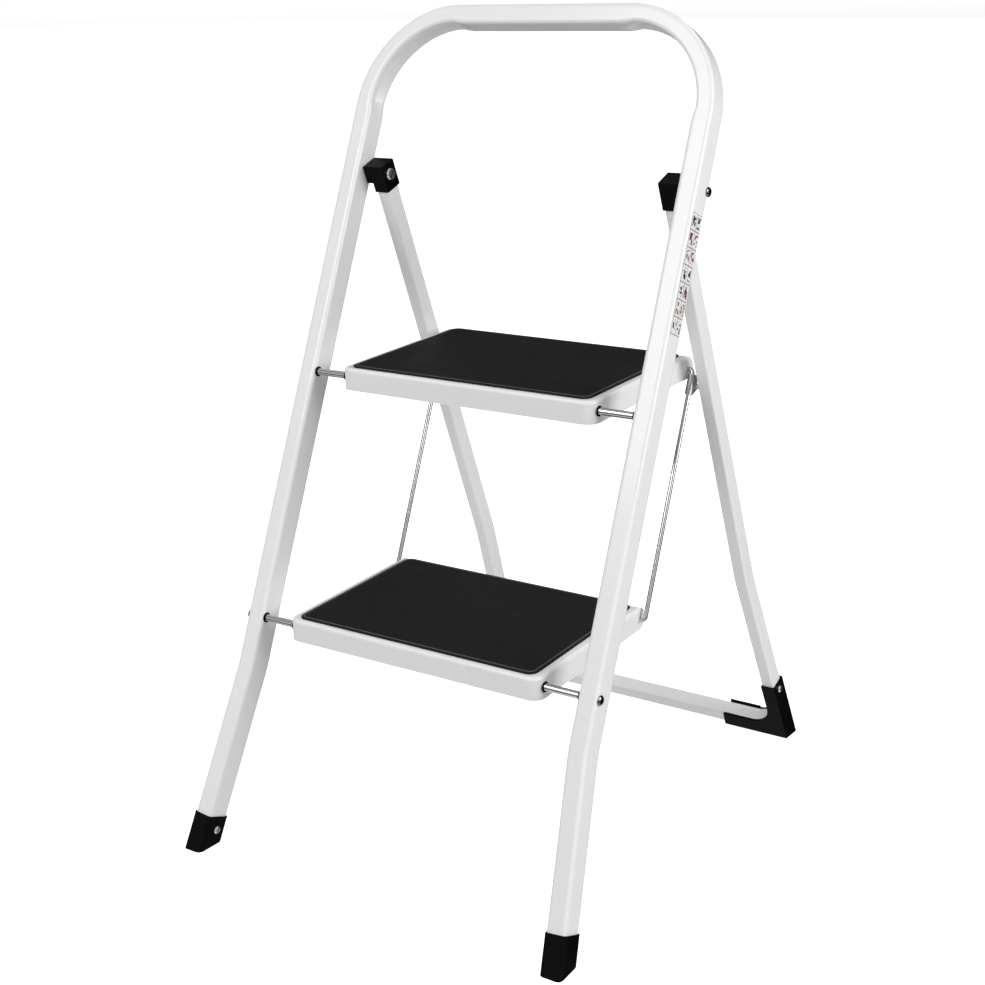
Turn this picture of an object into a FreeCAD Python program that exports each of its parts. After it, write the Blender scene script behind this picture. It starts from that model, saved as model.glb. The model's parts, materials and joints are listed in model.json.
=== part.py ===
"""Folding two-step stool of bent steel tube.

A front hoop of rectangular tube carries a hand rail and both axles. A lighter U of tube hangs from it on
two pivots and swings back. Two pressed trays with rubber mats turn on the axles, and bent wires tie the
trays together so that they fold up as one. Each wire runs through a folded guide on the rear leg.

Part frame: +Z up, +X to the right of a person facing the stool, -Y towards that person, and the origin at
the middle of the footprint on the floor. Lengths in mm, angles in degrees.

Three local frames carry the pieces:
  front frame  x, then s up along the front legs from the floor, then n square to the legs and forwards
  rear frame   x, then u up along the rear legs from the pivot, then m square to the legs and forwards
  step frame   x, then y back from the axle along the tray, then z square to the tray and up
"""
import FreeCAD, Part
import math
import os

import Sketcher
from FreeCAD import Placement, Rotation, Vector

SIZES = [
    # the two frames
    ("lean_front", 22.85, "front legs' lean from upright"),
    ("lean_rear", 21.5, "rear legs' lean from upright"),
    ("rail_top", 873.5, "outer face of the hand rail, up the front legs"),
    ("front_half", 202.5, "outer face of the parallel front legs from the middle"),
    ("tube_wide", 19.5, "front tube, across the stool"),
    ("tube_deep", 26.5, "front tube, front to back"),
    ("tube_wall", 1.5, "front tube's wall"),
    ("tube_round", 3.5, "front tube's outer corner radius"),
    ("rail_bend", 95.0, "centreline radius of the rail's corners"),
    ("splay_start", 185.0, "height up the legs where they turn outwards"),
    ("splay_bend", 150.0, "centreline radius of that turn"),
    ("front_spread", 209.0, "front leg's axis from the middle at the floor"),
    ("tube_end", 12.0, "end of the front tube above the floor, along the leg"),
    ("pivot_up", 702.0, "pivot, up the front legs"),
    ("pivot_back", 11.0, "pivot behind the front tube's axis"),
    ("rear_half", 174.0, "outer face of the parallel rear legs from the middle"),
    ("rear_wide", 14.4, "rear tube, across the stool"),
    ("rear_deep", 19.2, "rear tube, front to back"),
    ("rear_wall", 1.2, "rear tube's wall"),
    ("rear_round", 2.5, "rear tube's outer corner radius"),
    ("rear_top", 7.0, "end of the rear tube above the pivot"),
    ("rear_turn", 467.0, "distance below the pivot where the rear legs turn outwards"),
    ("rear_turn_bend", 220.0, "centreline radius of that turn"),
    ("rear_spread", 181.0, "rear leg's axis from the middle at the floor bar"),
    ("bar_bend", 30.0, "centreline radius of the floor bar's corners"),
    # steps
    ("axle_low", 235.3, "lower axle, up the front legs"),
    ("axle_rise", 252.9, "upper axle above the lower one, along the legs"),
    ("axle_front", 7.0, "axles in front of the front tube's axis"),
    ("axle_dia", 7.0, "axle"),
    ("tray_tilt", 1.7, "trays' rise towards the back"),
    ("tray_half", 145.5, "outer face of a tray's side from the middle"),
    ("tray_front", 11.3, "tray's front face before the axle"),
    ("tray_back", 179.7, "tray's top plate ends behind the axle"),
    ("tray_top", 10.7, "tray's top face above the axle"),
    ("tray_skirt", 22.2, "height of a tray's skirt"),
    ("tray_sheet", 1.2, "tray's sheet"),
    ("tray_corner", 12.0, "tray's front corners, outer radius"),
    ("tray_edge", 3.5, "rolled edge round the top of the tray"),
    ("rear_lip", 10.0, "height of the tray's rear lip"),
    ("lip_gap", 13.0, "room between the rear lip's ends and the tray's sides"),
    ("ear_back", 186.7, "rounded end of the tray's ears behind the axle"),
    ("ear_round", 11.0, "radius of that end"),
    ("mat_thick", 2.0, "rubber mat"),
    ("mat_side", 8.5, "tray left bare at each side of the mat"),
    ("mat_lead", 5.8, "tray left bare in front of the mat"),
    ("mat_trail", 1.5, "tray left bare behind the mat"),
    ("mat_corner", 9.0, "mat's corner radius"),
    ("mat_bevel", 0.6, "bevel round the mat's top"),
    # wires and their guides
    ("link_back", 175.9, "wire's eye in the ear behind the axle"),
    ("link_down", 1.6, "wire's eye below the axle, in the tray's own plane"),
    ("wire_dia", 4.5, "link wire"),
    ("wire_out", 5.6, "wire's axis outside the tray's side"),
    ("wire_bend", 5.0, "wire's bends, centreline radius"),
    ("wire_tail", 5.0, "wire's end inside the tray's side"),
    ("guide_sheet", 1.5, "guide's sheet"),
    ("guide_top", 5.2, "guide's top below the wire's upper eye, along the wire"),
    ("guide_long", 20.0, "guide's length along the wire"),
    ("guide_low", 7.0, "guide's rear point above its lower end"),
    ("guide_rear", 3.5, "guide's rear edge behind the wire at the top"),
    ("guide_deep", 9.5, "guide's rear point behind the wire"),
    ("guide_pin_down", 16.0, "guide's rivet below the wire's upper eye, along the wire"),
    ("guide_pin_back", 6.2, "guide's rivet behind the wire"),
    ("guide_pin_dia", 3.0, "guide's rivet"),
    ("guide_collar", 5.0, "collar of that rivet between the guide and the rear leg"),
    # feet, caps and fasteners
    ("foot_wall", 1.5, "front foot's wall round the tube"),
    ("foot_tall", 32.0, "front foot's top, up the leg"),
    ("foot_screw_up", 18.4, "front foot's screw, up the leg"),
    ("foot_screw_back", 2.0, "front foot's screw behind the tube's axis"),
    ("foot_screw_dia", 3.5, "front foot's screw"),
    ("shoe_wall", 1.9, "rear shoe's wall round the tube"),
    ("shoe_sole", 2.5, "rear shoe's sole below the floor bar"),
    ("shoe_long", 67.0, "rear shoe along the floor bar"),
    ("shoe_tall", 72.0, "rear shoe's front up the leg from the floor bar's face"),
    ("shoe_open", 0.4, "bare rim of the tube's inner face beside the shoe's front and back walls"),
    ("heel_rise", 2.2, "shoe's back wall above the floor bar"),
    ("shoe_rivet_up", 62.8, "shoe's rivet up the leg from the floor bar's face"),
    ("shoe_rivet_dia", 4.0, "shoe's rivet"),
    ("cap_wall", 1.3, "pivot cap's wall round the rear tube"),
    ("cap_top", 12.5, "pivot cap's top above the pivot"),
    ("cap_low", 16.0, "pivot cap's lower end below the pivot"),
    ("cap_round", 1.0, "pivot cap's outer edges"),
    ("boss_low", 6.0, "pivot cap's outer boss ends below the pivot"),
    ("pivot_dia", 6.0, "pivot screw"),
    ("sleeve_dia", 8.0, "sleeve nut that the rear leg turns on"),
    ("sleeve_head", 12.6, "sleeve nut's head"),
    ("head_tall", 2.2, "height of the screws' heads"),
    ("foot_head_tall", 1.4, "height of the feet's screw and rivet heads"),
    ("recess_wide", 1.3, "arm of a head's cross recess"),
    ("recess_deep", 1.0, "depth of that recess"),
    ("screw_head", 9.4, "pan heads on the legs' outer faces"),
    ("axle_screw_dia", 4.0, "screws in the lower axle's ends"),
    ("axle_tap", 14.0, "tapped depth in those ends"),
    ("axle_short", 4.0, "upper axle ends inside the middle of the legs"),
    ("foot_head", 8.0, "heads of the feet's screws and rivets"),
    ("sleeve_head_tall", 1.8, "height of the sleeve nut's head"),
    ("push_nut_dia", 9.0, "push nuts on the wires' ends"),
    ("guide_pin_head", 4.6, "head of the guide's rivet"),
    ("guide_pin_head_tall", 1.0, "height of that head"),
    ("clip_dia", 10.0, "push-on rings that keep the trays in place"),
    ("clip_thick", 1.0, "those rings"),
    ("clip_inset", 7.3, "those rings inside the tray's outer face"),
    ("label_low", 566.0, "label's lower edge, up the leg"),
    ("label_long", 112.0, "label"),
    ("label_wide", 19.0, "label"),
    ("label_thick", 0.2, "label"),
    # clearances
    ("gap", 0.4, "room beside pieces that turn past each other"),
    ("run_fit", 0.08, "radial clearance of a turning fit"),
]

DERIVED = [
    ("leg_axis", "front_half - tube_wide / 2"),
    ("leg_inner", "front_half - tube_wide"),
    ("rail_axis", "rail_top - tube_wide / 2"),
    ("splay_slope", "(front_spread - leg_axis) / splay_start"),
    ("rear_axis", "rear_half - rear_wide / 2"),
    ("rear_inner", "rear_half - rear_wide"),
    ("pivot_z", "pivot_up * cos(lean_front * 1 deg) - pivot_back * sin(lean_front * 1 deg)"),
    ("pivot_reach", "pivot_up * sin(lean_front * 1 deg) + pivot_back * cos(lean_front * 1 deg)"),
    ("bar_face", "(pivot_z - rear_deep / 2 * sin(lean_rear * 1 deg) - shoe_sole) / cos(lean_rear * 1 deg)"),
    ("bar_axis", "bar_face - rear_wide / 2"),
    ("rear_slope", "(rear_spread - rear_axis) / (bar_axis - rear_turn)"),
    ("front_toe", "(tube_deep / 2 + foot_wall) / cos(lean_front * 1 deg)"),
    ("rear_heel", "pivot_reach + pivot_z * tan(lean_rear * 1 deg)"
                  " + (rear_deep / 2 + shoe_wall) / cos(lean_rear * 1 deg)"),
    ("front_y", "(front_toe - rear_heel) / 2"),
    ("wire_x", "tray_half + wire_out"),
    ("tray_low", "tray_skirt - tray_top"),
    ("cap_inner", "rear_inner - cap_wall"),
    ("cap_outer", "rear_half + cap_wall"),
]

DOC = FreeCAD.newDocument("step_stool")
SHEET = DOC.addObject("Spreadsheet::Sheet", "dims")
AXIS_X, AXIS_Y, AXIS_Z = Vector(1, 0, 0), Vector(0, 1, 0), Vector(0, 0, 1)
ALONG_X = Rotation(AXIS_Y, 90)
NODES = {}


def fill_sheet():
    row = 1
    for alias, number, meaning in SIZES:
        SHEET.set(f"A{row}", alias)
        SHEET.set(f"B{row}", str(number))
        SHEET.set(f"C{row}", meaning)
        SHEET.setAlias(f"B{row}", alias)
        row += 1
    for alias, formula in DERIVED:
        SHEET.set(f"A{row}", alias)
        SHEET.setAlias(f"B{row}", alias)
        SHEET.set(f"B{row}", "=" + formula)
        row += 1
    DOC.recompute()


def size(alias):
    return float(getattr(SHEET, alias))


def tie(words):
    """An expression on the sheet's aliases, as other objects have to write it."""
    known = sorted([name for name, *_ in SIZES + DERIVED], key=len, reverse=True)
    out, i = "", 0
    while i < len(words):
        name = next((k for k in known if words.startswith(k, i)), None)
        if name and (i == 0 or not (words[i - 1].isalnum() or words[i - 1] == "_")):
            out += "dims." + name
            i += len(name)
        else:
            out += words[i]
            i += 1
    return out


def worth(words):
    """The number that an expression on the sheet's aliases stands for."""
    SHEET.set("E1", "=" + words)
    SHEET.recompute()
    return float(SHEET.get("E1"))


# ---------------------------------------------------------------- drawing helpers


def new_body(label, place):
    body = DOC.addObject("PartDesign::Body", label)
    body.Label = label
    body.Placement = place
    NODES[label] = body
    return body


def sketch(body, name, role="XY_Plane", lift=None):
    drawing = body.newObject("Sketcher::SketchObject", name)
    plane = next(f for f in body.Origin.OriginFeatures if f.Role == role)
    drawing.AttachmentSupport = (plane, [""])
    drawing.MapMode = "FlatFace"
    if lift is not None:
        drawing.setExpression("AttachmentOffset.Base.z", tie(lift))
    return drawing


def leg_sketch(body, name, x, up, angle):
    """A sketch in the plane of a leg that leans sideways by angle from the point (x, up) of its axis."""
    drawing = sketch(body, name, "YZ_Plane")
    drawing.AttachmentOffset = Placement(Vector(up, 0, x), Rotation(AXIS_Y, angle))
    return drawing


def splay_angle(slope):
    return math.degrees(math.atan(size(slope)))


def dim(drawing, kind, *where, to):
    """A driving dimension, tied to the sheet. Distances to the origin change ends if they are negative."""
    number = worth(to)
    words = tie(to)
    if number < 0:
        where = where[2:] + where[:2]
        number, words = -number, f"-({words})"
    index = drawing.addConstraint(Sketcher.Constraint(kind, *where, number))
    drawing.setExpression(f"Constraints[{index}]", words)


def place_point(drawing, shape, point, x, y):
    """Ties a point of a sketch to the origin. x of None leaves the point on the vertical axis."""
    if x is None:
        drawing.addConstraint(Sketcher.Constraint("PointOnObject", shape, point, -2))
    else:
        dim(drawing, "DistanceX", -1, 1, shape, point, to=x)
    if y is None:
        drawing.addConstraint(Sketcher.Constraint("PointOnObject", shape, point, -1))
    else:
        dim(drawing, "DistanceY", -1, 1, shape, point, to=y)


def rectangle(drawing, left, right, low, high):
    """A sharp rectangle whose four sides are expressions."""
    x0, x1, y0, y1 = (worth(w) for w in (left, right, low, high))
    corners = [Vector(x0, y0, 0), Vector(x1, y0, 0), Vector(x1, y1, 0), Vector(x0, y1, 0)]
    first = drawing.GeometryCount
    for i in range(4):
        drawing.addGeometry(Part.LineSegment(corners[i], corners[(i + 1) % 4]))
    for i in range(4):
        drawing.addConstraint(Sketcher.Constraint("Coincident", first + i, 2, first + (i + 1) % 4, 1))
        kind = "Horizontal" if i % 2 == 0 else "Vertical"
        drawing.addConstraint(Sketcher.Constraint(kind, first + i))
    place_point(drawing, first, 1, left, low)
    place_point(drawing, first + 2, 1, right, high)


def polygon(drawing, points):
    """Straight sides between points whose coordinates are expressions."""
    spots = [Vector(worth(x), worth(y), 0) for x, y in points]
    first, count = drawing.GeometryCount, len(spots)
    for i in range(count):
        drawing.addGeometry(Part.LineSegment(spots[i], spots[(i + 1) % count]))
    for i in range(count):
        drawing.addConstraint(Sketcher.Constraint("Coincident", first + i, 2, first + (i + 1) % count, 1))
        place_point(drawing, first + i, 1, *points[i])


def rounded_rectangle(drawing, left, right, low, high, radius):
    """A rectangle with four equal round corners, all expressions."""
    x0, x1, y0, y1, r = (worth(w) for w in (left, right, low, high, radius))
    middles = [(x1 - r, y0 + r), (x1 - r, y1 - r), (x0 + r, y1 - r), (x0 + r, y0 + r)]
    ends = [((x0 + r, y0), (x1 - r, y0)), ((x1, y0 + r), (x1, y1 - r)),
            ((x1 - r, y1), (x0 + r, y1)), ((x0, y1 - r), (x0, y0 + r))]
    first = drawing.GeometryCount
    for i in range(4):
        start, end = (Vector(*p, 0) for p in ends[i])
        drawing.addGeometry(Part.LineSegment(start, end))
        circle = Part.Circle(Vector(*middles[i], 0), AXIS_Z, r)
        turn = math.pi / 2 * (i - 1)
        drawing.addGeometry(Part.ArcOfCircle(circle, turn, turn + math.pi / 2))
    for i in range(4):
        line, arc, following = first + 2 * i, first + 2 * i + 1, first + 2 * ((i + 1) % 4)
        drawing.addConstraint(Sketcher.Constraint("Tangent", line, 2, arc, 1))
        drawing.addConstraint(Sketcher.Constraint("Tangent", arc, 2, following, 1))
        if i:
            drawing.addConstraint(Sketcher.Constraint("Equal", first + 1, arc))
    drawing.addConstraint(Sketcher.Constraint("Horizontal", first))
    drawing.addConstraint(Sketcher.Constraint("Vertical", first + 2))
    dim(drawing, "DistanceY", -1, 1, first, 1, to=low)
    dim(drawing, "DistanceX", -1, 1, first + 2, 1, to=right)
    dim(drawing, "DistanceY", -1, 1, first + 4, 1, to=high)
    dim(drawing, "DistanceX", -1, 1, first + 6, 1, to=left)
    dim(drawing, "Radius", first + 1, to=radius)


def corner_off(drawing, x, y, radius, way):
    """What a round corner at (x, y) leaves outside itself. way is 1 for a top corner, -1 for a bottom one."""
    px, py, r = worth(x), worth(y), worth(radius)
    start, end = Vector(px - r, py, 0), Vector(px, py - way * r, 0)
    first = drawing.GeometryCount
    drawing.addGeometry(Part.LineSegment(start, Vector(px, py, 0)))
    drawing.addGeometry(Part.LineSegment(Vector(px, py, 0), end))
    turn = (0, math.pi / 2) if way > 0 else (-math.pi / 2, 0)
    drawing.addGeometry(Part.ArcOfCircle(Part.Circle(Vector(px - r, py - way * r, 0), AXIS_Z, r), *turn))
    near, far = (2, 1) if way > 0 else (1, 2)
    drawing.addConstraint(Sketcher.Constraint("Coincident", first, 2, first + 1, 1))
    drawing.addConstraint(Sketcher.Constraint("Tangent", first, 1, first + 2, near))
    drawing.addConstraint(Sketcher.Constraint("Tangent", first + 1, 2, first + 2, far))
    drawing.addConstraint(Sketcher.Constraint("Horizontal", first))
    drawing.addConstraint(Sketcher.Constraint("Vertical", first + 1))
    place_point(drawing, first, 2, x, y)
    dim(drawing, "Radius", first + 2, to=radius)


def circle(drawing, x, y, diameter):
    middle = Vector(0 if x is None else worth(x), 0 if y is None else worth(y), 0)
    index = drawing.addGeometry(Part.Circle(middle, AXIS_Z, worth(diameter) / 2))
    place_point(drawing, index, 3, x, y)
    dim(drawing, "Diameter", index, to=diameter)


def bent_path(drawing, corners, radii):
    """Three straight runs joined by two tangent arcs. corners are four (x, y) pairs of expressions."""
    points = [Vector(0 if x is None else worth(x), 0 if y is None else worth(y), 0) for x, y in corners]
    starts, arcs = [points[0]], []
    for i, radius in enumerate(radii):
        before = (points[i] - points[i + 1]).normalize()
        after = (points[i + 2] - points[i + 1]).normalize()
        half = before.getAngle(after) / 2
        r = worth(radius)
        touch = [points[i + 1] + way * (r / math.tan(half)) for way in (before, after)]
        middle = points[i + 1] + (before + after).normalize() * (r / math.sin(half))
        angles = [math.atan2(p.y - middle.y, p.x - middle.x) for p in touch]
        left_turn = before.cross(after).z < 0
        if not left_turn:
            angles.reverse()
        while angles[1] < angles[0]:
            angles[1] += 2 * math.pi
        arcs.append((Part.ArcOfCircle(Part.Circle(middle, AXIS_Z, r), *angles), left_turn))
        starts += touch
    starts.append(points[3])
    for i in range(3):
        drawing.addGeometry(Part.LineSegment(starts[2 * i], starts[2 * i + 1]))
        if i < 2:
            drawing.addGeometry(arcs[i][0])
    for i, (_, left_turn) in enumerate(arcs):
        line, arc = 2 * i, 2 * i + 1
        near, far = (1, 2) if left_turn else (2, 1)
        drawing.addConstraint(Sketcher.Constraint("Tangent", line, 2, arc, near))
        drawing.addConstraint(Sketcher.Constraint("Tangent", arc, far, line + 2, 1))
        dim(drawing, "Radius", arc, to=radii[i])
        corner = drawing.addGeometry(Part.Point(points[i + 1]), True)
        place_point(drawing, corner, 1, *corners[i + 1])
        drawing.addConstraint(Sketcher.Constraint("PointOnObject", corner, 1, line))
        drawing.addConstraint(Sketcher.Constraint("PointOnObject", corner, 1, line + 2))
    place_point(drawing, 0, 1, *corners[0])
    place_point(drawing, 4, 2, *corners[3])


def sweep(body, name, path, profile):
    pipe = body.newObject("PartDesign::AdditivePipe", name)
    pipe.Profile = profile
    pipe.Spine = (path, [f"Edge{i}" for i in range(1, 6)])
    return pipe


def pad(body, name, drawing, length, both=False, flip=False):
    feature = body.newObject("PartDesign::Pad", name)
    feature.Profile = drawing
    feature.setExpression("Length", tie(length))
    feature.SideType = "Symmetric" if both else "One side"
    feature.Reversed = flip
    return feature


def pocket(body, name, drawing, length=None, both=False, flip=False):
    """Cuts away from the drawing's own normal, or along it when flipped. No length cuts through all."""
    feature = body.newObject("PartDesign::Pocket", name)
    feature.Profile = drawing
    if length is None:
        feature.Type = "ThroughAll"
    else:
        feature.setExpression("Length", tie(length))
    feature.SideType = "Symmetric" if both else "One side"
    feature.Reversed = flip
    return feature


def mirrored(body, name, feature):
    twin = body.newObject("PartDesign::Mirrored", name)
    twin.Originals = [feature]
    plane = next(f for f in body.Origin.OriginFeatures if f.Role == "YZ_Plane")
    twin.MirrorPlane = (plane, [""])
    body.Tip = twin
    return twin


def dress(body, name, base, wanted, amount, kind="Fillet"):
    """Rounds or bevels the edges of base that wanted() picks by their ends."""
    DOC.recompute()
    picked = []
    for i, edge in enumerate(base.Shape.Edges):
        ends = [vertex.Point for vertex in edge.Vertexes]
        if wanted(ends):
            picked.append(f"Edge{i + 1}")
    feature = body.newObject("PartDesign::" + kind, name)
    feature.Base = (base, picked)
    feature.setExpression("Radius" if kind == "Fillet" else "Size", tie(amount))
    return feature


def along(ends, axis):
    """True when an edge's two ends differ along one axis only."""
    step = ends[0] - ends[-1]
    lengths = {"x": abs(step.x), "y": abs(step.y), "z": abs(step.z)}
    return lengths.pop(axis) > 0.5 and max(lengths.values()) < 0.01


def rod(name, diameter, length, place):
    """A round bar that starts at place and runs along its X."""
    bar = DOC.addObject("Part::Cylinder", name)
    bar.setExpression("Radius", tie(f"({diameter}) / 2"))
    bar.setExpression("Height", tie(length))
    bar.Placement = place * Placement(Vector(), ALONG_X)
    return bar


def block(name, lengths, place):
    box = DOC.addObject("Part::Box", name)
    for side, words in zip(("Length", "Width", "Height"), lengths):
        box.setExpression(side, tie(words))
    box.Placement = place
    return box


def taper(name, wide, narrow, length, place):
    """A round head that narrows along its X."""
    cone = DOC.addObject("Part::Cone", name)
    cone.setExpression("Radius1", tie(f"({wide}) / 2"))
    cone.setExpression("Radius2", tie(f"({narrow}) / 2"))
    cone.setExpression("Height", tie(length))
    cone.Placement = place * Placement(Vector(), ALONG_X)
    return cone


def joined(name, pieces):
    whole = DOC.addObject("Part::MultiFuse", name)
    whole.Shapes = pieces
    whole.Refine = True
    return whole


def cut(name, base, tool):
    rest = DOC.addObject("Part::Cut", name)
    rest.Base = base
    rest.Tool = tool
    return rest


def node(label, thing):
    thing.Label = label
    NODES[label] = thing
    return thing


def group(label, pieces):
    """Identical loose pieces that share a node, each a solid of its own."""
    together = DOC.addObject("Part::Compound", label)
    together.Links = pieces
    return node(label, together)


def at(x=0.0, y=0.0, z=0.0, turn=Rotation()):
    return Placement(Vector(x, y, z), turn)


def turned(side):
    """Turns a piece that points to +X to the given side, about the local Z."""
    return Rotation() if side > 0 else Rotation(AXIS_Z, 180)


def facing(side):
    """Turns a piece that points to +X to the given side, about the local Y."""
    return Rotation() if side > 0 else Rotation(AXIS_Y, 180)


def screw(name, place, head, shank, length):
    """A pan head with a cross recess outside place, and its shank inwards. Outwards is place's +X."""
    tall = worth("head_tall")
    disc = rod(name + "_flange", head, "head_tall / 2", place)
    dome = taper(name + "_dome", head, f"({head}) * 0.72", "head_tall / 2",
                 place * at(tall / 2))
    stem = rod(name + "_shank", shank, length, place * at(-worth(length)))
    arms = []
    for turn in (0, 90):
        arm = block(f"{name}_slot_{turn}", ["recess_deep", "recess_wide", f"({head}) * 0.55"],
                    place * at(0, 0, 0, Rotation(AXIS_X, turn))
                    * at(tall - worth("recess_deep"), -worth("recess_wide") / 2,
                         -worth(head) * 0.275))
        arms.append(arm)
    return cut(name, joined(name + "_blank", [disc, dome, stem]), joined(name + "_recess", arms))


# ---------------------------------------------------------------- frames of reference

fill_sheet()
FRONT = at(0, size("front_y"), 0, Rotation(AXIS_X, 90 - size("lean_front")))
REAR = at(0, size("front_y") + size("pivot_reach"), size("pivot_z"),
          Rotation(AXIS_X, 90 + size("lean_rear")))
SIDES = (("left", -1), ("right", 1))
STEPS = (("lower", "axle_low"), ("upper", "axle_low + axle_rise"))


def step_place(up):
    """Step frame of the axle that sits this far up the front legs."""
    return Placement(FRONT.multVec(Vector(0, worth(up), size("axle_front"))),
                     Rotation(AXIS_X, size("tray_tilt")))


# ---------------------------------------------------------------- the two frames


def front_frame():
    """One hoop of tube: rail, two big corners, parallel legs that turn outwards near the floor."""
    body = new_body("front_frame", FRONT)
    path = sketch(body, "hoop_path")
    bent_path(path, [(None, "rail_axis"), ("leg_axis", "rail_axis"), ("leg_axis", "splay_start"),
                     ("front_spread - tube_end * splay_slope", "tube_end")],
              ["rail_bend", "splay_bend"])
    profile = sketch(body, "hoop_profile", "YZ_Plane")
    for inset in ("0", "tube_wall"):
        rounded_rectangle(profile, f"rail_axis - tube_wide / 2 + {inset}",
                          f"rail_axis + tube_wide / 2 - {inset}",
                          f"{inset} - tube_deep / 2", f"tube_deep / 2 - {inset}",
                          f"tube_round - {inset}")
    mirrored(body, "whole_hoop", sweep(body, "half_hoop", path, profile))
    inner = sketch(body, "axle_holes", "YZ_Plane")
    circle(inner, "axle_low", "axle_front", "axle_dia")
    circle(inner, "axle_low + axle_rise", "axle_front", "axle_dia")
    pocket(body, "axle_seats", inner, "2 * leg_axis", both=True)
    for name, side in SIDES:
        feet = leg_sketch(body, name + "_foot_screw_hole", side * size("front_spread"), 0,
                          side * splay_angle("splay_slope"))
        circle(feet, "foot_screw_up", "-foot_screw_back", "foot_screw_dia")
        pocket(body, name + "_foot_screw_seat", feet, "tube_wide", flip=side < 0)
    outer = sketch(body, "leg_screw_holes", "YZ_Plane")
    circle(outer, "pivot_up", "-pivot_back", "pivot_dia")
    circle(outer, "axle_low", "axle_front", "axle_screw_dia")
    body.Tip = pocket(body, "leg_screw_seats", outer, "4 * front_half", both=True)


def rear_u(label, hollow):
    """One U of lighter tube: floor bar, tight corners, and legs that lean in and then run parallel."""
    body = new_body(label, REAR)
    path = sketch(body, label + "_path")
    bent_path(path, [(None, "-bar_axis"), ("rear_spread", "-bar_axis"), ("rear_axis", "-rear_turn"),
                     ("rear_axis", "rear_top")], ["bar_bend", "rear_turn_bend"])
    profile = sketch(body, label + "_profile", "YZ_Plane")
    for inset in ("0", "rear_wall") if hollow else ("0",):
        rounded_rectangle(profile, f"{inset} - bar_axis - rear_wide / 2",
                          f"rear_wide / 2 - bar_axis - {inset}",
                          f"{inset} - rear_deep / 2", f"rear_deep / 2 - {inset}",
                          f"rear_round - {inset}")
    mirrored(body, label + "_whole", sweep(body, label + "_half", path, profile))
    return body


def rear_frame():
    body = rear_u("rear_frame", hollow=True)
    holes = sketch(body, "pivot_holes", "YZ_Plane")
    circle(holes, None, None, "sleeve_dia + 2 * run_fit")
    pocket(body, "pivot_seats", holes, "4 * rear_half", both=True)
    for name, side in SIDES:
        rivet = leg_sketch(body, name + "_rivet_hole", side * size("rear_spread"), -size("bar_axis"),
                           side * splay_angle("rear_slope"))
        circle(rivet, "shoe_rivet_up - rear_wide / 2", None, "shoe_rivet_dia")
        body.Tip = pocket(body, name + "_rivet_seat", rivet, "rear_wide", flip=side > 0)


# ---------------------------------------------------------------- feet and caps


def front_foot(name, side, ground):
    """A square cap over the end of a front leg, cut level with the floor."""
    place = FRONT * at(side * size("front_spread"), 0, 0,
                       Rotation(AXIS_Z, side * splay_angle("splay_slope")))
    body = DOC.addObject("PartDesign::Body", name + "_foot_block")
    body.Placement = place
    outer = sketch(body, name + "_foot_outline", "XZ_Plane", "-foot_tall")
    wide, deep = "(tube_wide / 2 + foot_wall)", "(tube_deep / 2 + foot_wall)"
    rounded_rectangle(outer, "-" + wide, wide, "-" + deep, deep, "tube_round + foot_wall")
    pad(body, name + "_foot_solid", outer, "2 * foot_tall")
    socket = sketch(body, name + "_foot_socket", "XZ_Plane", "-foot_tall")
    rounded_rectangle(socket, "-tube_wide / 2", "tube_wide / 2", "-tube_deep / 2", "tube_deep / 2",
                      "tube_round")
    pocket(body, name + "_foot_cavity", socket, "foot_tall - tube_end", flip=True)
    hole = sketch(body, name + "_foot_hole", "YZ_Plane")
    circle(hole, "foot_screw_up", "-foot_screw_back", "foot_screw_dia")
    body.Tip = pocket(body, name + "_foot_pierced", hole, "tube_wide", flip=side < 0)
    return node(f"front_foot_{name}", cut(f"front_foot_{name}", body, ground))


def pivot_cap(name, side):
    """A sleeve over the rear leg's end with a boss that fills the gap to the front leg."""
    body = new_body(f"pivot_cap_{name}", REAR * at(turn=facing(side)))
    deep = "(rear_deep / 2 + cap_wall)"
    sleeve = sketch(body, name + "_sleeve_outline", "YZ_Plane", "cap_inner")
    rectangle(sleeve, "-cap_low", "cap_top", "-" + deep, deep)
    pad(body, name + "_sleeve", sleeve, "cap_outer - cap_inner")
    boss = sketch(body, name + "_boss_outline", "YZ_Plane", "cap_inner")
    rectangle(boss, "-boss_low", "cap_top", "-" + deep, deep)
    whole = pad(body, name + "_boss", boss, "leg_inner - gap - cap_inner")
    smooth = dress(body, name + "_soft_edges", whole,
                   lambda ends: along(ends, "y") or min(p.y for p in ends) > size("cap_top") - 0.01,
                   "cap_round")
    cavity = sketch(body, name + "_leg_outline", "XZ_Plane", "cap_low")
    rounded_rectangle(cavity, "rear_inner", "rear_half", "-rear_deep / 2", "rear_deep / 2",
                      "rear_round")
    pocket(body, name + "_leg_socket", cavity, "cap_low + rear_top")
    hole = sketch(body, name + "_pin_outline", "YZ_Plane")
    circle(hole, None, None, "sleeve_dia + 2 * run_fit")
    body.Tip = pocket(body, name + "_pin_hole", hole, "4 * rear_half", both=True)
    return smooth


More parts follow.
